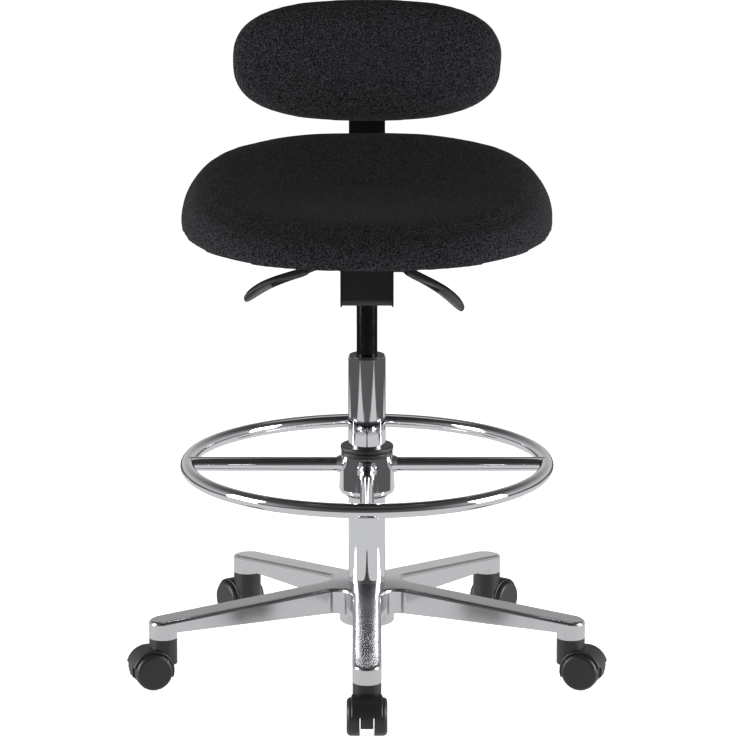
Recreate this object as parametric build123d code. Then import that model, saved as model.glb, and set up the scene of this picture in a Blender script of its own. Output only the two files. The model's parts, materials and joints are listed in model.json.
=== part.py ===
from build123d import *
import math
import os

# A drafting chair on a five-arm castor base, in millimetres. +Z is up, the chair faces -Y,
# and the origin is on the floor, on the axis of the gas-lift column.

# ---------------------------------------------------------------- clearances
RUN_GAP = 0.05          # radial play of a running fit
SEAT_GAP = 0.02         # play between pieces that are pressed, glued or welded together
SLIDE_GAP = 0.4         # air beside a piece that slides or swings past another
PAST = 1.0              # a cut runs this far beyond the face that it opens

# ---------------------------------------------------------------- castors
WHEEL_D = 50.0
WHEEL_WIDTH = 17.0
WHEEL_EDGE = 6.0        # rounding of the wheel's outer face
WHEEL_GAP = 18.8        # between the inner faces of the two wheels
CASTOR_TRAIL = 18.0     # from the stem's axis back to the axle
CASTOR_HEIGHT = 64.0    # floor to the underside of the collar
WHEEL_SIDE_PLAY = 1.0
TREAD_PLAY = 0.9        # radial air between tread and hood
HOOD_WALL = 2.6
HOOD_SIDE_INSET = 6.0   # the wheels' domed faces stand out of the hood by this
HOOD_NECK_D = 37.6
HOOD_NECK_OVER = 6.0    # the neck starts this far over the axle
HOOD_EDGE = 2.4
HOOD_HEEL_DEG = 20.0    # slope of the hood's lower edge at the back of the wheels
HOOD_HEEL_Z = 16.0      # lowest point of the web between the wheels
AXLE_D = 6.0
AXLE_CAP = 4.0          # wheel material left outside the axle's end
STEM_D = 11.0
STEM_IN_BASE = 20.0
STEM_IN_HOOD = 14.0
STEM_END_AIR = 0.5      # hole left over at the ends of a stem
STEM_CHAMFER = 1.0
COLLAR_H = 2.4

# ---------------------------------------------------------------- star base
ARM_COUNT = 5
FIRST_ARM_DEG = -90.0
ARM_REACH = 285.3       # column axis to stem axis
ARM_WIDTH = 38.0
ARM_TOP_AT_HUB = 121.0
ARM_TOP_AT_TIP = 92.0
ARM_UNDER_AT_HUB = 84.5
ARM_UNDER_AT_TIP = 76.0
ARM_EDGE = 4.5          # rounding along the top of the arms
ARM_WALL = 4.0
WEB_FILLET = 26.0       # plan radius between neighbouring arms
HUB_BOSS_WALL = 12.0    # casting round the column
HUB_BOSS_CHAMFER = 1.5
HUB_BOSS_BOTTOM = 64.0
TIP_BOSS_BOTTOM = CASTOR_HEIGHT + COLLAR_H
STEM_BOSS_WALL = 4.0

# ---------------------------------------------------------------- gas-lift column
COLUMN_D = 50.0
COLUMN_WALL = 1.8
COLUMN_TOP = 430.0
COLUMN_BOTTOM = 66.0
COLUMN_FLOOR = 3.0      # thickness of its closed lower end
COLUMN_TAPER = 1.0      # how much smaller the radius is at its lower end
COLUMN_EDGE = 0.6
BUSH_LENGTH = 70.0
BUSH_LIP = 2.0
BUSH_LIP_IN = 1.5       # lip inside the tube's edge
LIFT_D = 28.0           # gas cylinder outside
LIFT_WALL = 1.7
LIFT_BOTTOM = 164.0
LIFT_TOP = 546.0
LIFT_PLUG = 17.0        # solid upper end around the release pin
LIFT_EDGE = 1.0
TAPER_LENGTH = 34.0
TAPER_DROP = 1.0        # how much smaller the radius is at the top of the taper
ROD_D = 10.0
ROD_GUIDE_H = 12.0
PISTON_Z = 345.0
PISTON_H = 20.0
ROD_PAST_PISTON = 4.0
ROD_FOOT = 4.0          # rod below the base's hub
ROD_STEP_D = 8.0
RACE_D = 26.0
RACE_H = 2.2
RACE_AIR = 0.6          # round the rod, in the fixed race and the column's floor
BALL_D = 4.0
BALL_COUNT = 9
CAGE_W = 7.2
CAGE_H = 1.6
CLIP_D = 18.0
CLIP_H = 2.0
CLIP_AIR = 0.3          # under the column's floor
RELEASE_PIN_D = 8.0
RELEASE_PIN_OUT = 8.0   # how far it stands out of the cylinder
RELEASE_PIN_IN = 12.0
RELEASE_PIN_EDGE = 1.5

# ---------------------------------------------------------------- foot ring
RING_D = 500.0          # outside
RING_TUBE_D = 19.0
RING_TUBE_WALL = 1.5
RING_Z = 281.5
HOOP_SEAM_DEG = 0.05    # hairline where the ends of the bent tube meet
SPOKE_COUNT = 4
HUB_TOP_WALL = 5.4      # hub outside its bore
HUB_BOTTOM_WALL = 8.4
HUB_SHOULDER = 0.5      # hub above its weld fillets
HUB_DROP = 38.5         # hub below the ring's level
HUB_TURN_H = 7.0        # steep foot of the hub
HUB_TURN_IN = 1.5
HUB_EDGE = 5.0
COLLET_WALL = 4.0
COLLET_SLIT = 3.0       # relief groove inside the collet
COLLET_SLIT_SKIN = 1.0  # wall left outside the groove
COLLET_SLIT_END = 4.0   # wall left over the groove, under the flange
COLLET_FLANGE_OUT = 6.45
COLLET_EDGE = 2.0
COLLET_FLANGE_H = 6.5
COLLET_TAIL = 3.0       # sleeve showing under the hub
LOCK_NUT_WALL = 5.4
LOCK_NUT_H = 6.0
LOCK_NUT_EDGE = 1.2
LOCK_NUT_AIR = 0.6      # under the collet's flange
SPOKE_FOOT = 4.0        # width of the weld fillet round a spoke
SPOKE_RIM = 0.8         # its thickness at its outer end
SPOKE_IN_HUB = 2.0

# ---------------------------------------------------------------- mechanism
HOUSING_W = 70.0
HOUSING_FRONT = -85.0
HOUSING_BACK = 78.0
HOUSING_BOTTOM = 514.0
HOUSING_TOP = 590.0
HOUSING_WALL = 2.5
HOUSING_BEND = 9.0
HOUSING_HEEL = 22.0     # sloping lower corner at the back of the cheeks
HOUSING_HEEL_RISE = 18.0
CHEEK_CORNER = 7.0
PAN_DROP = 6.0          # the folded pan stays this far under the cheeks' tops
CHEEK_PROUD = 1.2       # the side cheeks stand out past the folded front
SOCKET_WALL = 5.0
SOCKET_OUT = 2.0        # socket below the housing
SOCKET_BELOW_TOP = 6.0  # cylinder standing out of the socket
SEAT_PIVOT = (46.0, 578.0)      # y, z
BACK_PIVOT = (56.0, 538.0)      # y, z
PIVOT_PIN_D = 10.0
PIVOT_PIN_OUT = 3.0     # pin beyond the outermost plate
PIVOT_PIN_CHAMFER = 0.8
LEVER_PIN_D = 6.0
LEVER_PIN_L = 16.0
LEVER_ROD_D = 8.0
LEVER_SLOT_SIDE = 1.5   # air beside, under and over a lever where it leaves the cheek
LEVER_SLOT_DOWN = 4.0
LEVER_SLOT_UP = 6.0
LEVER_KNEE = 14.0       # cheek to the bend
LEVER_BEND = 16.0
LEVER_BOSS_WALL = 3.5
LEVER_BOSS_L = 10.0
HEIGHT_LEVER_Y = 0.0
TILT_LEVER_Y = -48.0
LEVER_PIN_AIR = 0.2     # between the release pin and the lever that presses it
LEVER_PIVOT_X = 24.0
LEVER_ARM_IN = 27.0     # from the pivot to the inner end of the rod
HEIGHT_LEVER_TIP = (-165.0, 511.0)      # x, z
TILT_LEVER_TIP = (130.0, 508.0)         # x, z
GRIP_LENGTH = 92.0
GRIP_TWIST_DEG = 38.0   # the paddles turn their faces up and forwards
GRIP_WIDTH = 32.0
GRIP_THICK = 9.0
GRIP_EDGE = 3.5
GRIP_SLEEVE_WALL = 2.5
GRIP_SLEEVE_OUT = 6.0   # sleeve before the paddle
GRIP_SLEEVE_IN = 36.8
ROD_IN_GRIP = 50.6      # rod inside the paddle

# ---------------------------------------------------------------- seat
SEAT_WIDTH = 489.0
SEAT_DEPTH = 463.0
SEAT_CENTRE_Y = -15.0
SEAT_SQUARENESS = 2.4   # exponent of the outline's superellipse
SEAT_TILT_DEG = 5.0     # front edge lower than the back
SEAM_Z = 627.0          # height of the cushion's lower seam over the column axis
CUSHION_SKIRT = 9.0     # cushion below the seam
CUSHION_FRONT = 38.0    # crest of the cushion above the seam
CUSHION_REAR = 56.0
CUSHION_CROWN = 34.0    # the crest lies this far inside the outline
CUSHION_SIDES = (       # share of the crest's height, inset, share of the crest's slope
    (0.25, 1.0, 0.2), (0.5, 4.5, 0.5), (0.8, 14.0, 0.8), (1.0, CUSHION_CROWN, 1.0))
SKIRT_TUCK = 3.0        # the skirt's lower edge turns in this far
SKIRT_BULGE = 0.4       # its middle, inside the seam
BOARD_INSET = 9.0
BOARD_THICK = 11.0
COVER_THICK = 2.5       # the cover closes the recess that holds the board
PLATE_W = 150.0
PLATE_D = 170.0
PLATE_THICK = 3.0
PLATE_CORNER = 14.0
EAR_THICK = 4.0
EAR_R = 13.0
SEAT_SCREW_D = 6.0
SEAT_SCREW_X = 110.0
SEAT_SCREW_Y = 130.0
SEAT_SCREW_HEAD_H = 2.5
SEAT_SCREW_SHORT = 2.0  # screw holes end this far under the board's top
SCREW_END_AIR = 0.5

# ---------------------------------------------------------------- back
BAR_WIDTH = 50.0
BAR_THICK = 6.0
BAR_Y = 262.0           # middle of the upright's thickness
BACK_DOWN = 8.0         # travel of the backrest below and above its rest
BACK_UP = 50.0
BAR_RUN_Z = 536.0       # middle of the level run's thickness
BAR_BEND = 40.0
BAR_SLOT_W = 9.0
BAR_SLOT_PLAY = 1.0     # slot left beyond each end of the travel
BAR_END = 12.0          # bar above the slot
BAR_CORNER = 8.0
BAR_EYE_WALL = 5.0
BACK_WIDTH = 366.0
BACK_HEIGHT = 167.0
BACK_MIDDLE_Z = 787.5
BACK_SQUARENESS = 2.7
BACK_FRONT_Y = 198.0
BACK_FOAM = 40.0
BACK_BOARD_THICK = 10.0
BACK_BOARD_INSET = 10.0
BACK_SECTIONS = (       # distance from the front, inset
    (BACK_FOAM - SEAT_GAP, 3.0), (32.0, 0.3), (24.0, 0.5), (13.0, 6.0), (3.0, 20.0), (0.0, 36.0))
BACK_COVER_WALL = 2.5
BACK_COVER_STEP = 3.0   # cover behind the board
BACK_COVER_DEPTH = 11.0
BACK_COVER_AIR = 0.3    # between the cover's rim and the board
BACK_COVER_CUT = 0.5    # round the bracket
BRACKET_WALL = 4.0
BRACKET_H = 70.0
BRACKET_Z = 762.0
BRACKET_EDGE = 2.5
KNOB_D = 46.0
KNOB_H = 24.0
KNOB_STUD_D = 8.0
KNOB_STUD_AIR = 0.5     # between the stud's end and the bar's front face
KNOB_AIR = 1.0          # behind the bracket
KNOB_EDGE = 5.0
KNOB_LOBES = 6
KNOB_FLUTE_R = 9.0
KNOB_FLUTE_OUT = 6.0    # centre of each flute beyond the rim
BACK_SCREW_D = 5.0
BACK_SCREW_IN = 8.0     # in the board
BACK_SCREW_HEAD_H = 2.3
BACK_SCREW_AWAY = 14.0  # from the bracket's side
BACK_SCREW_RISE = 20.0  # above and below the bracket's middle

# ---------------------------------------------------------------- worked out from the above
AXLE_Z = WHEEL_D / 2
LIFT_R = LIFT_D / 2
COLUMN_R = COLUMN_D / 2
RING_R = (RING_D - RING_TUBE_D) / 2
HUB_TOP_Z = RING_Z + RING_TUBE_D / 2 + SPOKE_FOOT + HUB_SHOULDER
HUB_BOTTOM_Z = RING_Z - HUB_DROP
SLEEVE_R = COLUMN_R + RUN_GAP + COLLET_WALL
HUB_TOP_R = SLEEVE_R + RUN_GAP + HUB_TOP_WALL
LOCK_NUT_R = SLEEVE_R + RUN_GAP + LOCK_NUT_WALL
HUB_BOSS_R = COLUMN_R + HUB_BOSS_WALL
LEVER_Z = LIFT_TOP + RELEASE_PIN_OUT + LEVER_PIN_AIR + LEVER_ROD_D / 2
SEAT_TILT = Plane(origin=(0, 0, SEAM_Z), x_dir=(1, 0, 0),
                  z_dir=(0, -math.sin(math.radians(SEAT_TILT_DEG)),
                         math.cos(math.radians(SEAT_TILT_DEG))))


def rod(radius, start, end):
    """A round bar between two points."""
    start, end = Vector(*start), Vector(*end)
    plane = Plane(origin=start, z_dir=end - start)
    return extrude(plane * Circle(radius), (end - start).length)


def disc(radius, low, high):
    """An upright round bar on the column's axis."""
    return Pos(0, 0, low) * extrude(Circle(radius), high - low)


def tube(outer, inner, low, high):
    """An upright tube on the column's axis."""
    return Pos(0, 0, low) * extrude(Circle(outer) - Circle(inner), high - low)


def turned(*outline):
    """A solid of revolution about the Z axis, from (radius, height) points."""
    face = make_face(Plane.XZ * Polyline(*outline, close=True))
    return revolve(face, Axis.Z)


def block(x, y, z):
    """A box from its (low, high) ranges."""
    return Pos((x[0] + x[1]) / 2, (y[0] + y[1]) / 2, (z[0] + z[1]) / 2) * Box(
        x[1] - x[0], y[1] - y[0], z[1] - z[0])


def superellipse(half_x, half_y, power, count=24):
    """A closed, smooth outline between an ellipse and a rectangle."""
    points = []
    for i in range(count):
        t = 2 * math.pi * i / count
        c, s = math.cos(t), math.sin(t)
        points.append((half_x * math.copysign(abs(c) ** (2 / power), c),
                       half_y * math.copysign(abs(s) ** (2 / power), s)))
    return make_face(Spline(*points, periodic=True))


def arm_angles():
    """The heading of each arm, in degrees."""
    return [FIRST_ARM_DEG + 360 / ARM_COUNT * i for i in range(ARM_COUNT)]


# ================================================================ castors
def castor_parts():
    """One castor with its stem on the Z axis, trailing towards +X."""
    wheel_space_r = WHEEL_D / 2 + TREAD_PLAY
    hood_r = wheel_space_r + HOOD_WALL
    inner = WHEEL_GAP / 2
    web_half = inner - WHEEL_SIDE_PLAY
    hood_half = inner + WHEEL_WIDTH - HOOD_SIDE_INSET
    neck_top = CASTOR_HEIGHT - SEAT_GAP

    def across(radius, low, high):
        """A round bar about the axle, between two distances along it."""
        return rod(radius, (CASTOR_TRAIL, low, AXLE_Z), (CASTOR_TRAIL, high, AXLE_Z))

    hood = across(hood_r, -hood_half, hood_half)
    hood += disc(HOOD_NECK_D / 2, AXLE_Z + HOOD_NECK_OVER, neck_top)
    hood = fillet(hood.edges().filter_by(GeomType.CIRCLE).filter_by(
        lambda e: abs(abs(e.center().Y) - hood_half) < 0.1 and abs(e.radius - hood_r) < 0.1), HOOD_EDGE)
    far = hood_r + CASTOR_TRAIL + HOOD_NECK_D
    low = block((-far, far), (-far, far), (-far, HOOD_HEEL_Z))
    heel_cut = Pos(CASTOR_TRAIL, 0, AXLE_Z) * Rot(0, -HOOD_HEEL_DEG, 0) * block(
        (-far, far), (-far, far), (-far, -HOOD_WALL))
    hood -= low + heel_cut
    for side in (-1, 1):
        hood -= across(wheel_space_r, side * web_half, side * (hood_half + far))
    web = across(wheel_space_r + HOOD_WALL / 2, -web_half, web_half) - low
    hood += web
    hood -= across(AXLE_D / 2 + SEAT_GAP, -web_half - PAST, web_half + PAST)
    hood -= disc(STEM_D / 2 + RUN_GAP, neck_top - STEM_IN_HOOD - STEM_END_AIR, neck_top + PAST)

    axle_half = inner + WHEEL_WIDTH - AXLE_CAP
    parts = {"hood": hood, "axle": across(AXLE_D / 2, -axle_half, axle_half)}
    for name, side in (("wheel_a", 1), ("wheel_b", -1)):
        outer = side * (inner + WHEEL_WIDTH)
        wheel = across(WHEEL_D / 2, side * inner, outer)
        rim = wheel.edges().filter_by(GeomType.CIRCLE)
        wheel = fillet(rim.filter_by(lambda e: abs(e.center().Y - outer) < 0.1), WHEEL_EDGE)
        wheel -= across(AXLE_D / 2 + RUN_GAP, side * (inner - PAST), side * (axle_half + PAST))
        parts[name] = wheel
    return parts


def castors():
    """All castors, each trailing outwards along its arm."""
    nodes = {}
    for number, angle in enumerate(arm_angles(), 1):
        for name, shape in castor_parts().items():
            nodes[f"castor_{number}_{name}"] = Rot(0, 0, angle) * Pos(ARM_REACH, 0, 0) * shape
    return nodes


def stems_and_collars():
    """The steel stems and the black collars, one of each under every arm."""
    stem = disc(STEM_D / 2, CASTOR_HEIGHT - STEM_IN_HOOD, TIP_BOSS_BOTTOM + STEM_IN_BASE)
    stem = chamfer(stem.edges().group_by(Axis.Z)[-1], STEM_CHAMFER)
    collar = tube(HOOD_NECK_D / 2, STEM_D / 2 + SEAT_GAP, CASTOR_HEIGHT, TIP_BOSS_BOTTOM)
    stems, collars = [], []
    for angle in arm_angles():
        place = Rot(0, 0, angle) * Pos(ARM_REACH, 0, 0)
        stems.append(place * stem)
        collars.append(place * collar)
    return {"castor_stems": stems, "castor_collars": collars}


# ================================================================ star base
def star_plan(arm_width, hub_fillet, reach):
    """The base seen from above: arms with round ends that flow into each other."""
    plan = Sketch()
    for angle in arm_angles():
        arm = Pos(reach / 2, 0) * Rectangle(reach, arm_width) + Pos(reach, 0) * Circle(arm_width / 2)
        plan += Rot(0, 0, angle) * arm
    crotch = [v for v in plan.vertices() if Vector(v).length < arm_width]
    return fillet(crotch, hub_fillet)


def arm_height(radius, at_hub, at_tip):
    """Height of an arm's sloping face at a distance from the axis."""
    return at_hub + (at_tip - at_hub) * (radius - COLUMN_R) / (ARM_REACH - COLUMN_R)


def base_star():
    """The cast base: solid skin on top, hollow underneath, with a boss for each stem."""
    far = ARM_REACH + ARM_WIDTH
    plan = star_plan(ARM_WIDTH, WEB_FILLET, ARM_REACH)
    skin = turned((0, ARM_UNDER_AT_HUB), (COLUMN_R, ARM_UNDER_AT_HUB),
                  (far, arm_height(far, ARM_UNDER_AT_HUB, ARM_UNDER_AT_TIP)),
                  (far, arm_height(far, ARM_TOP_AT_HUB, ARM_TOP_AT_TIP)),
                  (COLUMN_R, ARM_TOP_AT_HUB), (0, ARM_TOP_AT_HUB))
    star = extrude(plan, ARM_TOP_AT_HUB + PAST) & skin
    star = fillet([e for e in star.edges()
                   if min((e @ 0).Z, (e @ 1).Z) > ARM_UNDER_AT_HUB + PAST], ARM_EDGE)
    hollow_plan = star_plan(ARM_WIDTH - 2 * ARM_WALL, WEB_FILLET + ARM_WALL, ARM_REACH)
    hollow = extrude(hollow_plan, ARM_TOP_AT_HUB + PAST) & turned(
        (0, TIP_BOSS_BOTTOM), (far, TIP_BOSS_BOTTOM),
        (far, arm_height(far, ARM_TOP_AT_HUB, ARM_TOP_AT_TIP) - ARM_WALL),
        (COLUMN_R, ARM_TOP_AT_HUB - ARM_WALL), (0, ARM_TOP_AT_HUB - ARM_WALL))
    star -= hollow
    hub_mid = ARM_TOP_AT_HUB - ARM_WALL / 2
    boss = disc(HUB_BOSS_R, HUB_BOSS_BOTTOM, hub_mid)
    star += chamfer(boss.edges().group_by(Axis.Z)[0], HUB_BOSS_CHAMFER)
    bore_top = COLUMN_R + SEAT_GAP
    bore_end = COLUMN_R - COLUMN_TAPER + SEAT_GAP
    for angle in arm_angles():
        place = Rot(0, 0, angle) * Pos(ARM_REACH, 0, 0)
        tip = arm_height(ARM_REACH, ARM_TOP_AT_HUB, ARM_TOP_AT_TIP) - ARM_WALL / 2
        skirt = tube(ARM_WIDTH / 2, ARM_WIDTH / 2 - ARM_WALL, TIP_BOSS_BOTTOM, ARM_UNDER_AT_TIP + ARM_WALL)
        core = disc(STEM_D / 2 + STEM_BOSS_WALL, TIP_BOSS_BOTTOM, tip)
        star += place * skirt + place * core
        star -= place * disc(STEM_D / 2 + SEAT_GAP, TIP_BOSS_BOTTOM - PAST,
                             TIP_BOSS_BOTTOM + STEM_IN_BASE + STEM_END_AIR)
    star -= turned((0, HUB_BOSS_BOTTOM - PAST), (bore_end, HUB_BOSS_BOTTOM - PAST),
                   (bore_end, COLUMN_BOTTOM), (bore_top, ARM_TOP_AT_HUB),
                   (bore_top, ARM_TOP_AT_HUB + PAST), (0, ARM_TOP_AT_HUB + PAST))
    return star


# ================================================================ gas-lift column
def column():
    """The outer tube, its guide bush and the fixed race of the swivel bearing."""
    inner = COLUMN_R - COLUMN_WALL
    low = COLUMN_R - COLUMN_TAPER
    floor_top = COLUMN_BOTTOM + COLUMN_FLOOR
    shell = turned((0, COLUMN_BOTTOM), (low, COLUMN_BOTTOM), (COLUMN_R, ARM_TOP_AT_HUB),
                   (COLUMN_R, COLUMN_TOP - COLUMN_EDGE), (COLUMN_R - COLUMN_EDGE, COLUMN_TOP),
                   (0, COLUMN_TOP))
    shell -= turned((0, floor_top), (low - COLUMN_WALL, floor_top),
                    (inner, ARM_TOP_AT_HUB), (inner, COLUMN_TOP + PAST), (0, COLUMN_TOP + PAST))
    shell -= disc(ROD_STEP_D / 2 + RACE_AIR, COLUMN_BOTTOM - PAST, floor_top + PAST)
    bush = tube(inner - SEAT_GAP, LIFT_R + RUN_GAP, COLUMN_TOP - BUSH_LENGTH, COLUMN_TOP)
    bush += tube(COLUMN_R - BUSH_LIP_IN, LIFT_R + RUN_GAP, COLUMN_TOP + SEAT_GAP, COLUMN_TOP + BUSH_LIP)
    bush += tube(inner - SEAT_GAP, LIFT_R + RUN_GAP, COLUMN_TOP - PAST, COLUMN_TOP + BUSH_LIP)
    race = tube(RACE_D / 2, ROD_STEP_D / 2 + RACE_AIR, floor_top, floor_top + RACE_H)
    return {"column_tube": shell, "column_guide_bush": bush, "bearing_lower_race": race}


def rod_parts():
    """The piston rod that turns on the bearing, with its piston, balls, race and clip."""
    floor_top = COLUMN_BOTTOM + COLUMN_FLOOR
    ball_z = floor_top + RACE_H + BALL_D / 2 + SEAT_GAP
    upper = ball_z + BALL_D / 2 + SEAT_GAP
    shoulder = upper + RACE_H
    clip_top = COLUMN_BOTTOM - CLIP_AIR
    piston_rod = disc(ROD_D / 2, shoulder, PISTON_Z + PISTON_H + ROD_PAST_PISTON)
    piston_rod += disc(ROD_STEP_D / 2, HUB_BOSS_BOTTOM - ROD_FOOT, shoulder)
    piston_bore = LIFT_R - LIFT_WALL
    piston = tube(piston_bore - RUN_GAP, ROD_D / 2 + SEAT_GAP, PISTON_Z, PISTON_Z + PISTON_H)
    ball_r = (RACE_D + ROD_STEP_D) / 4 + RACE_AIR / 2
    cage = tube(ball_r + CAGE_W / 2, ball_r - CAGE_W / 2, ball_z - CAGE_H / 2, ball_z + CAGE_H / 2)
    for i in range(BALL_COUNT):
        cage += Rot(0, 0, 360 / BALL_COUNT * i) * Pos(ball_r, 0, ball_z) * Sphere(BALL_D / 2)
    return {
        "piston_rod": piston_rod,
        "piston": piston,
        "bearing_balls": cage,
        "bearing_upper_race": tube(RACE_D / 2, ROD_STEP_D / 2 + SEAT_GAP, upper, shoulder),
        "rod_clip": tube(CLIP_D / 2, ROD_STEP_D / 2 + SEAT_GAP, clip_top - CLIP_H, clip_top),
    }


def lift_parts():
    """The gas cylinder that rises with the seat, its rod guide and its release pin."""
    bore = LIFT_R - LIFT_WALL
    taper_low = LIFT_TOP - TAPER_LENGTH
    cylinder = turned((0, LIFT_BOTTOM), (LIFT_R - LIFT_EDGE, LIFT_BOTTOM), (LIFT_R, LIFT_BOTTOM + LIFT_EDGE),
                      (LIFT_R, taper_low), (LIFT_R - TAPER_DROP, LIFT_TOP), (0, LIFT_TOP))
    cylinder -= disc(bore, LIFT_BOTTOM - PAST, LIFT_TOP - LIFT_PLUG)
    cylinder -= disc(RELEASE_PIN_D / 2 + RUN_GAP, LIFT_TOP - LIFT_PLUG - PAST, LIFT_TOP + PAST)
    guide = tube(bore - SEAT_GAP, ROD_D / 2 + RUN_GAP, LIFT_BOTTOM, LIFT_BOTTOM + ROD_GUIDE_H)
    pin = disc(RELEASE_PIN_D / 2, LIFT_TOP - RELEASE_PIN_IN, LIFT_TOP + RELEASE_PIN_OUT)
    pin = fillet(pin.edges().group_by(Axis.Z)[-1], RELEASE_PIN_EDGE)
    return {"pressure_cylinder": cylinder, "rod_guide": guide, "release_pin": pin}


# ================================================================ foot ring
def foot_ring():
    """The hoop with its spokes and clamping hub, and the collet it turns on."""
    tube_r = RING_TUBE_D / 2
    hub_foot = SLEEVE_R + RUN_GAP + HUB_BOTTOM_WALL
    section = Pos(RING_R, RING_Z) * (Circle(tube_r) - Circle(tube_r - RING_TUBE_WALL))
    hoop = Rot(0, 0, 90) * revolve(Plane.XZ * section, Axis.Z, 360 - HOOP_SEAM_DEG)
    hub = turned((0, HUB_BOTTOM_Z), (hub_foot - HUB_TURN_IN, HUB_BOTTOM_Z),
                 (hub_foot, HUB_BOTTOM_Z + HUB_TURN_H), (HUB_TOP_R, HUB_TOP_Z), (0, HUB_TOP_Z))
    hub = fillet(hub.edges().group_by(Axis.Z)[0], HUB_EDGE)
    spoke_root = HUB_TOP_R - SPOKE_IN_HUB
    spokes = []
    for i in range(SPOKE_COUNT):
        turn = Rot(0, 0, 360 / SPOKE_COUNT * i)
        weld = Pos(spoke_root, 0, RING_Z) * Rot(0, 90, 0) * Cone(
            tube_r + SPOKE_FOOT, tube_r + SPOKE_RIM, 2 * SPOKE_FOOT,
            align=(Align.CENTER, Align.CENTER, Align.MIN))
        hub += turn * weld
    for i in range(SPOKE_COUNT):
        turn = Rot(0, 0, 360 / SPOKE_COUNT * i)
        hub -= turn * rod(tube_r + SEAT_GAP, (spoke_root, 0, RING_Z), (RING_R, 0, RING_Z))
        spoke = rod(tube_r, (spoke_root + SEAT_GAP, 0, RING_Z), (RING_R, 0, RING_Z))
        spoke -= rod(tube_r - RING_TUBE_WALL, (0, 0, RING_Z), (RING_R + PAST, 0, RING_Z))
        spoke -= Pos(0, 0, RING_Z) * Torus(RING_R, tube_r + SEAT_GAP)
        spokes.append(turn * spoke)
    hub -= disc(SLEEVE_R + RUN_GAP, HUB_BOTTOM_Z - PAST, HUB_TOP_Z + PAST)
    nut_low = HUB_TOP_Z + SEAT_GAP
    nut = tube(LOCK_NUT_R, SLEEVE_R + RUN_GAP, nut_low, nut_low + LOCK_NUT_H)
    nut = fillet(nut.edges().filter_by(GeomType.CIRCLE).filter_by(
        lambda e: e.radius > LOCK_NUT_R - PAST), LOCK_NUT_EDGE)
    flange_low = nut_low + LOCK_NUT_H + LOCK_NUT_AIR
    flange = disc(SLEEVE_R + COLLET_FLANGE_OUT, flange_low, flange_low + COLLET_FLANGE_H)
    collet = fillet(flange.edges(), COLLET_EDGE)
    collet += disc(SLEEVE_R, HUB_BOTTOM_Z - COLLET_TAIL, flange_low + PAST)
    collet -= disc(COLUMN_R + RUN_GAP, HUB_BOTTOM_Z - COLLET_TAIL - PAST,
                   flange_low + COLLET_FLANGE_H + PAST)
    collet -= block((COLUMN_R - PAST, SLEEVE_R - COLLET_SLIT_SKIN), (-COLLET_SLIT / 2, COLLET_SLIT / 2),
                    (HUB_BOTTOM_Z - COLLET_TAIL - PAST, flange_low - COLLET_SLIT_END))
    return {"foot_ring_hoop": hoop, "foot_ring_spokes": spokes, "foot_ring_hub": hub,
            "foot_ring_lock_nut": nut, "foot_ring_collet": collet}


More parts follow.
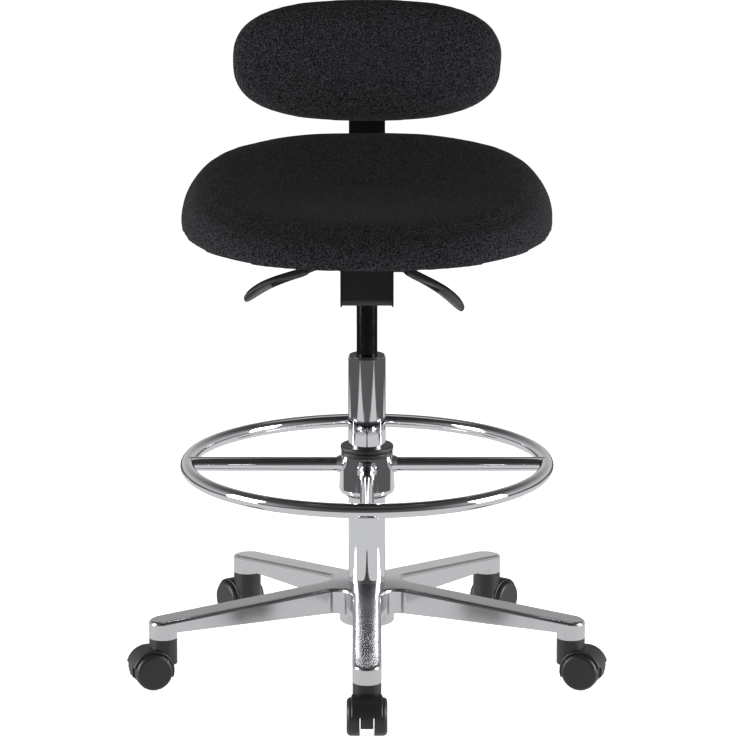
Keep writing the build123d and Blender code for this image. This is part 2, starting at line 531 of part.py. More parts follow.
# ================================================================ mechanism
def mechanism():
    """The folded housing between its cheeks, the lift socket and the pivot pins."""
    half = HOUSING_W / 2
    cheek_in = half - HOUSING_WALL
    front = HOUSING_FRONT + CHEEK_PROUD
    bottom = HOUSING_BOTTOM + CHEEK_PROUD
    pan = block((-cheek_in, cheek_in), (front, HOUSING_BACK - HOUSING_HEEL),
                (bottom, HOUSING_TOP - PAN_DROP))
    corner = [e for e in pan.edges().filter_by(Axis.X)
              if e.center().Y < front + PAST and e.center().Z < bottom + PAST]
    pan = fillet(corner, HOUSING_BEND)
    room = block((-half, half), (front + HOUSING_WALL, HOUSING_BACK),
                 (bottom + HOUSING_WALL, HOUSING_TOP + PAST))
    corner = [e for e in room.edges().filter_by(Axis.X)
              if e.center().Y < front + HOUSING_WALL + PAST
              and e.center().Z < bottom + HOUSING_WALL + PAST]
    pan -= fillet(corner, HOUSING_BEND - HOUSING_WALL)
    side = Plane.YZ * make_face(Polyline(
        (HOUSING_FRONT, HOUSING_BOTTOM), (HOUSING_BACK - HOUSING_HEEL, HOUSING_BOTTOM),
        (HOUSING_BACK, HOUSING_BOTTOM + HOUSING_HEEL_RISE), (HOUSING_BACK, HOUSING_TOP),
        (HOUSING_FRONT, HOUSING_TOP), close=True))
    side = fillet(side.vertices(), CHEEK_CORNER)
    housing = pan
    for x in (-half, cheek_in):
        housing += Pos(x, 0, 0) * extrude(side, HOUSING_WALL)
    socket_r = LIFT_R + SOCKET_WALL
    taper_low = LIFT_TOP - TAPER_LENGTH
    socket = disc(socket_r, HOUSING_BOTTOM - SOCKET_OUT, LIFT_TOP - SOCKET_BELOW_TOP)
    socket -= turned((0, 0), (LIFT_R + SEAT_GAP, 0), (LIFT_R + SEAT_GAP, taper_low),
                     (LIFT_R - TAPER_DROP + SEAT_GAP, LIFT_TOP), (0, LIFT_TOP))
    housing -= disc(socket_r + SEAT_GAP, HOUSING_BOTTOM - PAST, HOUSING_BOTTOM + HOUSING_BEND)
    pin_r = PIVOT_PIN_D / 2
    pins = {}
    for name, (y, z) in (("seat_pivot_pin", SEAT_PIVOT), ("back_pivot_pin", BACK_PIVOT)):
        head_out = half + PIVOT_PIN_OUT + (EAR_THICK if name == "seat_pivot_pin" else 0)
        housing -= rod(pin_r + SEAT_GAP, (-half - PAST, y, z), (half + PAST, y, z))
        pin = rod(pin_r, (-head_out, y, z), (head_out, y, z))
        pins[name] = chamfer(pin.edges().filter_by(GeomType.CIRCLE), PIVOT_PIN_CHAMFER)
    lever_pins = []
    for side_sign, y in ((-1, HEIGHT_LEVER_Y), (1, TILT_LEVER_Y)):
        x = side_sign * (half - HOUSING_WALL / 2)
        slot_half = LEVER_ROD_D / 2 + LEVER_SLOT_SIDE
        housing -= block((x - HOUSING_WALL, x + HOUSING_WALL), (y - slot_half, y + slot_half),
                         (LEVER_Z - LEVER_ROD_D / 2 - LEVER_SLOT_DOWN,
                          LEVER_Z + LEVER_ROD_D / 2 + LEVER_SLOT_UP))
        pivot_x = side_sign * LEVER_PIVOT_X
        lever_pins.append(rod(LEVER_PIN_D / 2, (pivot_x, y - LEVER_PIN_L / 2, LEVER_Z),
                              (pivot_x, y + LEVER_PIN_L / 2, LEVER_Z)))
    pins["lever_pins"] = lever_pins
    return {"mechanism_housing": housing, "lift_socket": socket, **pins}


def lever(sign, y, tip):
    """A lever: a steel rod through the cheek and a moulded paddle on its outer end."""
    tip_x, tip_z = tip
    inner_x = sign * (LEVER_PIVOT_X - LEVER_ARM_IN)
    knee_x = sign * (HOUSING_W / 2 + LEVER_KNEE)
    direction = Vector(tip_x - knee_x, 0, tip_z - LEVER_Z)
    length = direction.length
    along = direction.normalized()
    rod_end = Vector(knee_x, y, LEVER_Z) + along * (length - GRIP_LENGTH + ROD_IN_GRIP)
    path = FilletPolyline((inner_x, y, LEVER_Z), (knee_x, y, LEVER_Z),
                          (rod_end.X, rod_end.Y, rod_end.Z), radius=LEVER_BEND)
    steel = sweep(Plane(origin=path @ 0, z_dir=path % 0) * Circle(LEVER_ROD_D / 2), path)
    pivot_x, boss_half = sign * LEVER_PIVOT_X, LEVER_BOSS_L / 2
    steel += rod(LEVER_PIN_D / 2 + LEVER_BOSS_WALL, (pivot_x, y - boss_half, LEVER_Z),
                 (pivot_x, y + boss_half, LEVER_Z))
    steel -= rod(LEVER_PIN_D / 2 + RUN_GAP, (pivot_x, y - boss_half - PAST, LEVER_Z),
                 (pivot_x, y + boss_half + PAST, LEVER_Z))
    frame = Plane(origin=Vector(knee_x, y, LEVER_Z) + along * (length - GRIP_LENGTH),
                  x_dir=along, z_dir=Vector(0, 1, 0).cross(along) * -sign)
    blade = SlotOverall(GRIP_LENGTH, GRIP_WIDTH)
    grip = Pos(GRIP_LENGTH / 2, 0, -GRIP_THICK / 2) * extrude(blade, GRIP_THICK)
    grip = fillet(grip.edges().filter_by(
        lambda e: abs(abs(e.center().Z) - GRIP_THICK / 2) < 0.1), GRIP_EDGE)
    grip += rod(LEVER_ROD_D / 2 + GRIP_SLEEVE_WALL, (-GRIP_SLEEVE_OUT, 0, 0), (GRIP_SLEEVE_IN, 0, 0))
    grip = frame * Rot(-sign * GRIP_TWIST_DEG, 0, 0) * grip
    grip -= sweep(Plane(origin=path @ 0, z_dir=path % 0) * Circle(LEVER_ROD_D / 2 + SEAT_GAP), path)
    return steel, grip


def levers():
    """The height lever on the sitter's right and the tilt lever on the left."""
    height_rod, height_grip = lever(-1, HEIGHT_LEVER_Y, HEIGHT_LEVER_TIP)
    tilt_rod, tilt_grip = lever(1, TILT_LEVER_Y, TILT_LEVER_TIP)
    return {"height_lever_rod": height_rod, "height_lever_grip": height_grip,
            "tilt_lever_rod": tilt_rod, "tilt_lever_grip": tilt_grip}


# ================================================================ seat
def seat_outline(inset):
    """The seat's outline, moved inwards, in the seat's own tilted plane."""
    return Pos(0, SEAT_CENTRE_Y) * superellipse(
        SEAT_WIDTH / 2 - inset, SEAT_DEPTH / 2 - inset, SEAT_SQUARENESS)


def seat():
    """The cushion on its board and cover, screwed to the tilting plate."""
    mean = (CUSHION_FRONT + CUSHION_REAR) / 2
    rise = math.degrees(math.atan2(CUSHION_REAR - CUSHION_FRONT, SEAT_DEPTH - 2 * CUSHION_CROWN))
    sections = [(-CUSHION_SKIRT, SKIRT_TUCK, 0), (-CUSHION_SKIRT / 2, SKIRT_BULGE, 0), (0, 0, 0)]
    sections += [(share * mean, inset, slope * rise) for share, inset, slope in CUSHION_SIDES]
    cushion = loft([Pos(0, 0, z) * Rot(turn, 0, 0) * seat_outline(inset)
                    for z, inset, turn in sections])
    cover_low = -CUSHION_SKIRT
    board_low = cover_low + COVER_THICK + SEAT_GAP
    board_top = board_low + BOARD_THICK
    cushion -= Pos(0, 0, cover_low - PAST) * extrude(
        seat_outline(BOARD_INSET - SEAT_GAP), PAST + board_top + SEAT_GAP - cover_low)
    board = Pos(0, 0, board_low) * extrude(seat_outline(BOARD_INSET), BOARD_THICK)
    cover = Pos(0, 0, cover_low) * extrude(seat_outline(BOARD_INSET), COVER_THICK)
    plate_top = cover_low - SEAT_GAP
    plate_low = plate_top - PLATE_THICK
    plate = Pos(0, 0, plate_low) * extrude(
        RectangleRounded(PLATE_W, PLATE_D, PLATE_CORNER), PLATE_THICK)
    screws = []
    for x in (-SEAT_SCREW_X / 2, SEAT_SCREW_X / 2):
        for y in (-SEAT_SCREW_Y / 2, SEAT_SCREW_Y / 2):
            place = Pos(x, y, 0)
            hole_end = board_top - SEAT_SCREW_SHORT
            hole = place * disc(SEAT_SCREW_D / 2 + SEAT_GAP, plate_low - PAST, hole_end)
            plate -= hole
            cover -= hole
            board -= hole
            shank = place * disc(SEAT_SCREW_D / 2, plate_low - PAST, hole_end - SCREW_END_AIR)
            head_low = plate_low - PAST - SEAT_SCREW_HEAD_H
            screws.append(shank + place * disc(SEAT_SCREW_D, head_low, plate_low - SEAT_GAP))
    plate = SEAT_TILT * plate
    pivot_y, pivot_z = SEAT_PIVOT
    ear_in = HOUSING_W / 2 + SLIDE_GAP
    for side in (-1, 1):
        x = (ear_in, ear_in + EAR_THICK) if side > 0 else (-ear_in - EAR_THICK, -ear_in)
        web_top = (SEAT_TILT * Pos(0, pivot_y, plate_low)).position.Z
        ear = rod(EAR_R, (x[0], pivot_y, pivot_z), (x[1], pivot_y, pivot_z))
        ear += block(x, (pivot_y - EAR_R, pivot_y + EAR_R), (pivot_z, web_top))
        plate += ear
    plate -= rod(PIVOT_PIN_D / 2 + RUN_GAP, (-HOUSING_W, pivot_y, pivot_z), (HOUSING_W, pivot_y, pivot_z))
    return {"seat_cushion": SEAT_TILT * cushion, "seat_board": SEAT_TILT * board,
            "seat_under_cover": SEAT_TILT * cover, "seat_plate": plate,
            "seat_screws": [SEAT_TILT * s for s in screws]}


# ================================================================ back
def back_bar():
    """The flat bar from the mechanism, level under the seat and then upright."""
    pivot_y, pivot_z = BACK_PIVOT
    slot_low = BRACKET_Z - BACK_DOWN - BAR_SLOT_PLAY - BAR_SLOT_W / 2
    slot_high = BRACKET_Z + BACK_UP + BAR_SLOT_PLAY + BAR_SLOT_W / 2
    top = slot_high + BAR_END
    line = FilletPolyline((0, pivot_y, BAR_RUN_Z), (0, BAR_Y, BAR_RUN_Z), (0, BAR_Y, top),
                          radius=BAR_BEND)
    section = Plane(origin=line @ 0, x_dir=(1, 0, 0), z_dir=line % 0)
    bar = sweep(section * Rectangle(BAR_WIDTH, BAR_THICK), line)
    bar = fillet(bar.edges().filter_by(Axis.Y).group_by(Axis.Z)[-1], BAR_CORNER)
    eye = rod(PIVOT_PIN_D / 2 + BAR_EYE_WALL, (-BAR_WIDTH / 2, pivot_y, pivot_z),
              (BAR_WIDTH / 2, pivot_y, pivot_z))
    bar += eye
    bar -= rod(PIVOT_PIN_D / 2 + RUN_GAP, (-HOUSING_W, pivot_y, pivot_z), (HOUSING_W, pivot_y, pivot_z))
    slot = Plane(origin=(0, BAR_Y + BAR_THICK, (slot_low + slot_high) / 2),
                 x_dir=(0, 0, 1), z_dir=(0, -1, 0))
    bar -= extrude(slot * SlotOverall(slot_high - slot_low, BAR_SLOT_W), 2 * BAR_THICK)
    return bar


def back_outline(inset):
    """The backrest's outline, moved inwards, in the upright plane facing +Y."""
    return superellipse(BACK_WIDTH / 2 - inset, BACK_HEIGHT / 2 - inset, BACK_SQUARENESS)


def backrest():
    """The pad, board and rear cover, and the bracket that slides on the bar."""
    def at(y):
        """The backrest's plane at a distance behind the column."""
        return Plane(origin=(0, y, BACK_MIDDLE_Z), x_dir=(1, 0, 0), z_dir=(0, -1, 0))

    board_front = BACK_FRONT_Y + BACK_FOAM
    cushion = loft([at(BACK_FRONT_Y + depth) * back_outline(inset) for depth, inset in BACK_SECTIONS])
    board_back = board_front + BACK_BOARD_THICK
    board = extrude(at(board_back) * back_outline(BACK_BOARD_INSET), BACK_BOARD_THICK)
    wall = BACK_COVER_WALL
    bar_front = BAR_Y - BAR_THICK / 2
    bracket_front = board_back + SEAT_GAP
    half_in = BAR_WIDTH / 2 + SLIDE_GAP
    half_out = half_in + BRACKET_WALL
    low, high = BRACKET_Z - BRACKET_H / 2, BRACKET_Z + BRACKET_H / 2
    bracket_back = BAR_Y + BAR_THICK / 2 + SLIDE_GAP + BRACKET_WALL
    bracket = block((-half_out, half_out), (bracket_front, bracket_back), (low, high))
    bracket = fillet(bracket.edges().filter_by(Axis.Z), BRACKET_EDGE)
    bracket -= block((-half_in, half_in), (bar_front - SLIDE_GAP, BAR_Y + BAR_THICK / 2 + SLIDE_GAP),
                     (low - PAST, high + PAST))
    bracket -= rod(KNOB_STUD_D / 2 + RUN_GAP, (0, bar_front - PAST, BRACKET_Z),
                   (0, bracket_back + PAST, BRACKET_Z))
    cover_back = board_back + BACK_COVER_STEP
    rear_inset = BACK_BOARD_INSET - BACK_COVER_AIR
    rear = extrude(at(cover_back) * back_outline(rear_inset - wall), BACK_COVER_DEPTH)
    rear -= extrude(at(cover_back - wall) * back_outline(rear_inset), BACK_COVER_DEPTH)
    rear -= block((-half_out - BACK_COVER_CUT, half_out + BACK_COVER_CUT),
                  (BACK_FRONT_Y, bracket_back), (low - BACK_COVER_CUT, high + BACK_COVER_CUT))
    screws = []
    screw_x = half_out + BACK_SCREW_AWAY
    for x in (-screw_x, screw_x):
        for z in (BRACKET_Z - BACK_SCREW_RISE, BRACKET_Z + BACK_SCREW_RISE):
            front, seat_y = board_back - BACK_SCREW_IN, cover_back + SEAT_GAP
            shank = rod(BACK_SCREW_D / 2, (x, front, z), (x, seat_y, z))
            head = rod(BACK_SCREW_D, (x, seat_y, z), (x, seat_y + BACK_SCREW_HEAD_H, z))
            hole = rod(BACK_SCREW_D / 2 + SEAT_GAP, (x, front - SCREW_END_AIR, z), (x, seat_y + PAST, z))
            board -= hole
            rear -= hole
            screws.append(shank + head)
    knob_front = bracket_back + KNOB_AIR
    knob = rod(KNOB_D / 2, (0, knob_front, BRACKET_Z), (0, knob_front + KNOB_H, BRACKET_Z))
    knob = fillet(knob.edges().filter_by(GeomType.CIRCLE).sort_by(Axis.Y)[-1:], KNOB_EDGE)
    for i in range(KNOB_LOBES):
        angle = 2 * math.pi * i / KNOB_LOBES
        x = (KNOB_D / 2 + KNOB_FLUTE_OUT) * math.cos(angle)
        z = BRACKET_Z + (KNOB_D / 2 + KNOB_FLUTE_OUT) * math.sin(angle)
        knob -= rod(KNOB_FLUTE_R, (x, knob_front - PAST, z), (x, knob_front + KNOB_H + PAST, z))
    knob += rod(KNOB_STUD_D / 2, (0, bar_front + KNOB_STUD_AIR, BRACKET_Z), (0, knob_front + PAST, BRACKET_Z))
    return {"backrest_cushion": cushion, "backrest_board": board, "back_bracket": bracket,
            "backrest_rear_cover": rear, "backrest_screws": screws, "back_knob": knob}


def chair():
    """Every node of the chair, by name."""
    nodes = {"base_star": base_star()}
    nodes.update(stems_and_collars())
    nodes.update(castors())
    nodes.update(column())
    nodes.update(rod_parts())
    nodes.update(lift_parts())
    nodes.update(foot_ring())
    nodes.update(mechanism())
    nodes.update(levers())
    nodes.update(seat())
    nodes["back_bar"] = back_bar()
    nodes.update(backrest())
    return nodes


os.makedirs("parts", exist_ok=True)
for node, shape in chair().items():
    solids = shape if isinstance(shape, list) else [shape]
    whole = Compound(children=[s for item in solids for s in item.solids()])
    whole.label = node
    export_step(whole, f"parts/{node}.step")
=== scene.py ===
"""Visual model of a drafting chair: a dished seat and an oval back on a gas-lift column, with a
foot ring, a five-arm polished base and twin-wheel castors. Metres, +Z up, the chair faces -Y."""
import json
import logging
import math
from dataclasses import dataclass
from enum import Enum

import bpy
import numpy as np
from mathutils import Matrix, Vector


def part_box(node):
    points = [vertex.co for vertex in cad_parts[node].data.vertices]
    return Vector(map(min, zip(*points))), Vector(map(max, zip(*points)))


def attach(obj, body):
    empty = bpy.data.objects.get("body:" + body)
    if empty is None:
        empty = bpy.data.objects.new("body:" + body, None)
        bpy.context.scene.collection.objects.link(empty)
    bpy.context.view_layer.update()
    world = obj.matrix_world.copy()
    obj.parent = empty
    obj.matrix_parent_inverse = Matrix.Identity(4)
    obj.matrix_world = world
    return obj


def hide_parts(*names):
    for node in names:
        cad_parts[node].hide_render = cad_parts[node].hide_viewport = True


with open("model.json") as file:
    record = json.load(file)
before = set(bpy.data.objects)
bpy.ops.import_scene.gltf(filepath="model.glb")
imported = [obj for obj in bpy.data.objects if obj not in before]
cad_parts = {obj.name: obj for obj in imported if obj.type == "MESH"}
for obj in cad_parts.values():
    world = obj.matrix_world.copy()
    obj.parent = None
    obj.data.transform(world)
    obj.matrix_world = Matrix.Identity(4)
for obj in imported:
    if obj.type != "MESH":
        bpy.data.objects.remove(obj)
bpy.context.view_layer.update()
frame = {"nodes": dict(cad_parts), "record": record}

log = logging.getLogger("drafting_chair")

MM = 0.001


# ---------------------------------------------------------------- small helpers
def linear(hex_colour: str) -> tuple[float, float, float, float]:
    """Turns an sRGB hex colour into the linear values that a shader takes.

    Args:
        hex_colour: six hex digits, with or without a leading hash.

    Returns:
        Red, green, blue and alpha.
    """
    digits = hex_colour.lstrip("#")
    channels = [int(digits[i:i + 2], 16) / 255 for i in (0, 2, 4)]
    return (*(c / 12.92 if c <= 0.04045 else ((c + 0.055) / 1.055) ** 2.4 for c in channels), 1.0)


def per_metre(millimetres: float) -> float:
    """The texture scale at which one feature is that many millimetres wide."""
    return 1.0 / (millimetres * MM)


def add_node(tree: bpy.types.NodeTree, kind: str, inputs: dict | None = None,
             **settings) -> bpy.types.Node:
    """Adds one shader node with its settings, values and links. A colour Mix node's sockets
    share their names with its other kinds, so they go by number: 6 and 7 in, 2 out.

    Args:
        tree: the node tree it goes into.
        kind: the node's type.
        inputs: socket name or index to a value, or to the socket that feeds it.
        settings: the node's own properties.

    Returns:
        The new node.
    """
    node = tree.nodes.new(kind)
    for name, value in settings.items():
        setattr(node, name, value)
    for name, value in (inputs or {}).items():
        if isinstance(value, bpy.types.NodeSocket):
            tree.links.new(value, node.inputs[name])
        else:
            node.inputs[name].default_value = value
    return node


def select_only(obj: bpy.types.Object) -> None:
    """Makes obj the one selected and active object."""
    bpy.ops.object.select_all(action="DESELECT")
    obj.select_set(True)
    bpy.context.view_layer.objects.active = obj


def coordinates(obj: bpy.types.Object) -> np.ndarray:
    """The object's vertices as rows of x, y, z."""
    co = np.empty(len(obj.data.vertices) * 3)
    obj.data.vertices.foreach_get("co", co)
    return co.reshape(-1, 3)


def put_back(obj: bpy.types.Object, co: np.ndarray) -> None:
    """Writes rows of x, y, z to the object's vertices."""
    obj.data.vertices.foreach_set("co", co.ravel())
    obj.data.update()


def bump(a: np.ndarray) -> np.ndarray:
    """1 at zero, falling smoothly to 0 at a distance of 1."""
    return np.clip(1 - a * a, 0, 1) ** 2


# ---------------------------------------------------------------- finishes
@dataclass(frozen=True)
class Finish:
    """One real material: its colour, its shine and the relief of its surface."""

    name: str
    colour: str
    slot: str
    roughness: float = 0.4
    metallic: float = 0.0
    ior: float = 1.5
    coat: float = 0.0
    patch_mm: float = 30.0      # size of the patches in which the roughness wanders
    patch: float = 0.03         # how far it wanders
    relief_mm: float = 0.6      # grain of the relief
    relief: float = 0.02        # height of the relief, in millimetres
    dark: str | None = None     # second colour: in the plain finish it is painted shade in the relief's hollows; in the cloth and plywood it is their specks' and layers' own colour

    def material(self) -> bpy.types.Material:
        """The finish as a Blender material, made once.

        Returns:
            The material.
        """
        ready = bpy.data.materials.get(self.name)
        if ready:
            return ready
        mat = bpy.data.materials.new(self.name)
        mat.use_nodes = True
        tree = mat.node_tree
        tree.nodes.clear()
        place = add_node(tree, "ShaderNodeTexCoord").outputs["Object"]
        shader = self.shader(tree, place)
        add_node(tree, "ShaderNodeOutputMaterial", {"Surface": shader.outputs["BSDF"]})
        return mat

    def shader(self, tree: bpy.types.NodeTree, place: bpy.types.NodeSocket) -> bpy.types.Node:
        """Builds the surface.

        Args:
            tree: the material's nodes.
            place: object coordinates, in metres.

        Returns:
            The Principled node.
        """
        patches = add_node(tree, "ShaderNodeTexNoise", {
            "Vector": place, "Scale": per_metre(self.patch_mm), "Detail": 3.0})
        shine = add_node(tree, "ShaderNodeMapRange", {
            "Value": patches.outputs["Fac"], "From Min": 0.3, "From Max": 0.7,
            "To Min": max(self.roughness - self.patch, 0.0), "To Max": self.roughness + self.patch})
        grain = add_node(tree, "ShaderNodeTexNoise", {
            "Vector": place, "Scale": per_metre(self.relief_mm), "Detail": 2.0})
        relief = add_node(tree, "ShaderNodeBump", {
            "Height": grain.outputs["Fac"], "Distance": self.relief * MM, "Strength": 1.0})
        values = {"Roughness": shine.outputs["Result"], "Normal": relief.outputs["Normal"],
                  "Metallic": self.metallic, "Base Color": linear(self.colour),
                  "Coat Weight": self.coat, "Coat Roughness": 0.08}
        if not self.metallic:
            values["IOR"] = self.ior
        # Painted shade: the dark colour fills the relief's hollows and is darkest where the grain is
        # lowest
        if self.dark:
            tint = add_node(tree, "ShaderNodeMix", {
                0: grain.outputs["Fac"], 6: linear(self.dark), 7: linear(self.colour)},
                data_type="RGBA")
            values["Base Color"] = tint.outputs[2]
        return add_node(tree, "ShaderNodeBsdfPrincipled", values)


@dataclass(frozen=True)
class Felted(Finish):
    """A dense black wool-look cloth: short fibres over a tight weave, so it shows fine specks
    and a soft light rim where it turns away."""

    speck_mm: float = 2.2       # real fibre tufts are finer; drawn this coarse so that they show
    thread_mm: float = 1.3      # spacing of the weave under the nap, drawn as coarse

    def shader(self, tree: bpy.types.NodeTree, place: bpy.types.NodeSocket) -> bpy.types.Node:
        """Builds the cloth.

        Args:
            tree: the material's nodes.
            place: object coordinates, in metres.

        Returns:
            The Principled node.
        """
        specks = add_node(tree, "ShaderNodeTexNoise", {
            "Vector": place, "Scale": per_metre(self.speck_mm), "Detail": 4.0, "Roughness": 0.7})
        tufts = add_node(tree, "ShaderNodeTexVoronoi", {
            "Vector": place, "Scale": per_metre(self.thread_mm)})
        spread = add_node(tree, "ShaderNodeMapRange", {
            "Value": specks.outputs["Fac"], "From Min": 0.42, "From Max": 0.66})
        tint = add_node(tree, "ShaderNodeMix", {
            0: spread.outputs["Result"], 6: linear(self.dark or self.colour),
            7: linear(self.colour)}, data_type="RGBA")
        height = add_node(tree, "ShaderNodeMath", {
            0: specks.outputs["Fac"], 1: tufts.outputs["Distance"]}, operation="ADD")
        relief = add_node(tree, "ShaderNodeBump", {
            "Height": height.outputs["Value"], "Distance": self.relief * MM, "Strength": 1.0})
        return add_node(tree, "ShaderNodeBsdfPrincipled", {
            "Base Color": tint.outputs[2], "Roughness": self.roughness,
            "Normal": relief.outputs["Normal"], "Sheen Weight": 0.05, "Sheen Roughness": 0.4,
            "Sheen Tint": linear("#8A8C90"), "Specular IOR Level": 0.12})


@dataclass(frozen=True)
class Layered(Finish):
    """Birch plywood, whose cut edge shows thin layers, light and dark in turn."""

    layer_mm: float = 1.4

    def shader(self, tree: bpy.types.NodeTree, place: bpy.types.NodeSocket) -> bpy.types.Node:
        """Builds the plywood.

        Args:
            tree: the material's nodes.
            place: object coordinates, in metres.

        Returns:
            The Principled node.
        """
        layers = add_node(tree, "ShaderNodeTexWave", {
            "Vector": place, "Scale": per_metre(self.layer_mm) / (2 * math.pi) * 2,
            "Distortion": 0.4}, bands_direction="Z")
        tint = add_node(tree, "ShaderNodeMix", {
            0: layers.outputs["Fac"], 6: linear(self.dark or self.colour),
            7: linear(self.colour)}, data_type="RGBA")
        return add_node(tree, "ShaderNodeBsdfPrincipled", {
            "Base Color": tint.outputs[2], "Roughness": self.roughness})


class Finishes(Enum):
    """Every finish on the chair."""

    # Felted wool-look upholstery: no gloss at all, fine specks, a soft rim
    CLOTH = Felted("felted_black_upholstery", "#36363A", "black_fabric", 0.95, relief=0.35,
                   dark="#040405")
    # Die-cast aluminium, ground and buffed: bright, with soft-edged reflections
    BUFFED_ALUMINIUM = Finish("buffed_cast_aluminium", "#D3D3D6", "polished_aluminium", 0.17, 1.0,
                              patch_mm=45.0, patch=0.035, relief_mm=9.0, relief=0.02)
    # Chromium plate on drawn steel tube: a clear mirror with the faintest ripple
    CHROME = Finish("chromium_plated_tube", "#DCDDE0", "chrome_tube", 0.045, 1.0,
                    patch_mm=25.0, patch=0.015, relief_mm=14.0, relief=0.01)
    # Injection-moulded nylon, spark-eroded mould: even satin with a fine pebble, whose hollows get a
    # darker colour as painted shade
    NYLON = Finish("moulded_black_nylon", "#191A1C", "black_nylon", 0.42, ior=1.5,
                   relief_mm=0.7, relief=0.02, dark="#121314")
    # Injection-moulded ABS from a polished mould: clean highlights
    ABS = Finish("glossy_black_abs", "#1B1C1F", "black_gloss_plastic", 0.16, ior=1.54, coat=0.4,
                 relief_mm=6.0, relief=0.01)
    # Turned acetal: waxy white
    ACETAL = Finish("turned_white_acetal", "#DEDDD6", "natural_acetal", 0.35, ior=1.48,
                    relief_mm=0.5, relief=0.01)
    # Epoxy powder coat on folded steel: satin with orange-peel
    POWDER = Finish("black_powder_coat", "#08080A", "black_painted_steel", 0.30, ior=1.5,
                    relief_mm=1.6, relief=0.03)
    # Ground and black-nitrided steel cylinder: dark metal with narrow highlights
    NITRIDED = Finish("nitrided_cylinder", "#3A3B3F", "black_cylinder", 0.12, 1.0,
                      patch_mm=12.0, patch=0.03, relief_mm=4.0, relief=0.004)
    # Zinc plate on turned steel: greyish, softly bright
    ZINC = Finish("zinc_plated_steel", "#B9BBBE", "bright_steel", 0.32, 1.0,
                  patch_mm=6.0, patch=0.06, relief_mm=0.8, relief=0.01)
    # Birch plywood with its layers showing at the edge
    PLYWOOD = Layered("birch_plywood", "#C9A877", "plywood", 0.6, dark="#8A6238")


def finish_for(slot_name: str) -> Finish:
    """The finish that stands for one of the record's material slots."""
    return next(f.value for f in Finishes if f.value.slot == slot_name)


# ---------------------------------------------------------------- sub-assemblies
@dataclass
class Part:
    """A sub-assembly: the nodes it dresses and the pieces it adds."""

    nodes: tuple[str, ...] = ()

    def build(self) -> list[bpy.types.Object]:
        """Makes the sub-assembly's own pieces."""
        return []

    def dress(self) -> None:
        """Gives each of its nodes the finish of its material slot."""
        slots = {s["node"]: s["material_slot"] for s in frame["record"]["subparts"]}
        for name in self.nodes:
            obj = frame["nodes"][name]
            material = finish_for(slots[name]).material()
            if obj.data.materials:
                obj.data.materials[0] = material
            else:
                obj.data.materials.append(material)


